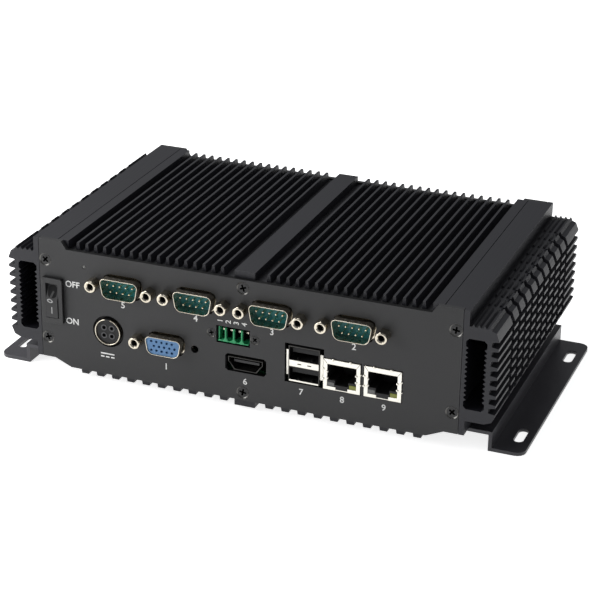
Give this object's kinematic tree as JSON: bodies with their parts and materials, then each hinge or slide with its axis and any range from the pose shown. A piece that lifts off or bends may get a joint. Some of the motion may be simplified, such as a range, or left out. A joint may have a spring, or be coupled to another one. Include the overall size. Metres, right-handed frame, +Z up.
{
  "type": "fanless industrial pc",
  "caption": "Flat fanless computer box with finned aluminium top, base and ducted side extrusions, a front row of ports, a rocker power switch and two slotted foot brackets.",
  "frame": {"origin": "middle of the footprint on the desk plane: mid-width, and halfway between the faces of the port lock nuts and the rear panel's face", "axes": "+X along the front to the viewer's right, +Y from the port side towards the back, +Z up from the foot plates"},
  "size_m": [0.231, 0.128, 0.0615],
  "materials": {
    "dark_anodised": "satin",
    "dark_panel": "satin",
    "bracket_coat": "satin",
    "dark_screw": "satin",
    "nickel_shell": "satin",
    "bright_steel": "satin",
    "contact_metal": "polished",
    "black_plastic": "matte",
    "dark_green_plastic": "matte",
    "blue_plastic": "matte",
    "green_plastic": "matte",
    "white_plastic": "matte",
    "lamp_plastic": "gloss",
    "link_lamp_plastic": "gloss",
    "circuit_board": "semi gloss",
    "chip": "matte",
    "pad": "matte",
    "bare_aluminium": "satin"
  },
  "bodies": {
    "computer": {"right_side_heatsink": "dark_anodised", "left_side_heatsink": "dark_anodised", "top_heatsink": "dark_anodised", "bottom_heatsink": "dark_anodised", "front_panel": "dark_panel", "rear_panel": "dark_panel", "right_mounting_bracket": "bracket_coat", "left_mounting_bracket": "bracket_coat", "bracket_screws": "dark_screw", "front_panel_screws": "dark_screw", "rear_panel_screws": "dark_screw", "rocker_housing": "black_plastic", "rocker_blades": "contact_metal", "indicator_lamp": "lamp_plastic", "power_jack_ring": "nickel_shell", "power_jack_body": "black_plastic", "serial_pins": "contact_metal", "serial_jackscrews": "nickel_shell", "video_shell": "nickel_shell", "video_insert": "blue_plastic", "video_jackscrew": "nickel_shell", "terminal_header": "green_plastic", "terminal_pins": "bright_steel", "terminal_screws": "dark_screw", "digital_video_shell": "bright_steel", "digital_video_insert": "black_plastic", "data_port_shell": "nickel_shell", "data_port_insert": "black_plastic", "network_indicators": "link_lamp_plastic", "mainboard": "circuit_board", "mainboard_standoffs": "contact_metal", "mainboard_screws": "bright_steel", "serial_board": "circuit_board", "serial_board_standoffs": "contact_metal", "serial_board_screws": "bright_steel", "board_link_connector": "black_plastic", "processor": "chip", "thermal_pad": "pad", "thermal_block": "bare_aluminium", "memory_socket": "black_plastic", "memory_module": "circuit_board", "storage_socket": "black_plastic", "storage_module": "circuit_board", "coin_cell": "bright_steel", "coin_cell_holder": "black_plastic", "serial_port_1_shell": "nickel_shell", "serial_port_1_insert": "dark_green_plastic", "serial_port_2_shell": "nickel_shell", "serial_port_2_insert": "dark_green_plastic", "serial_port_3_shell": "nickel_shell", "serial_port_3_insert": "dark_green_plastic", "serial_port_4_shell": "nickel_shell", "serial_port_4_insert": "dark_green_plastic", "network_port_1_shell": "bright_steel", "network_port_1_insert": "black_plastic", "network_port_2_shell": "bright_steel", "network_port_2_insert": "black_plastic"},
    "power_rocker": {"rocker": "black_plastic"}
  },
  "joints": [
    {"name": "power_rocker_tilt", "type": "hinge", "parent": "computer", "child": "power_rocker", "pos_m": [-0.08445, -0.058, 0.035], "axis": [1, 0, 0], "range_deg": [0, 20]}
  ]
}
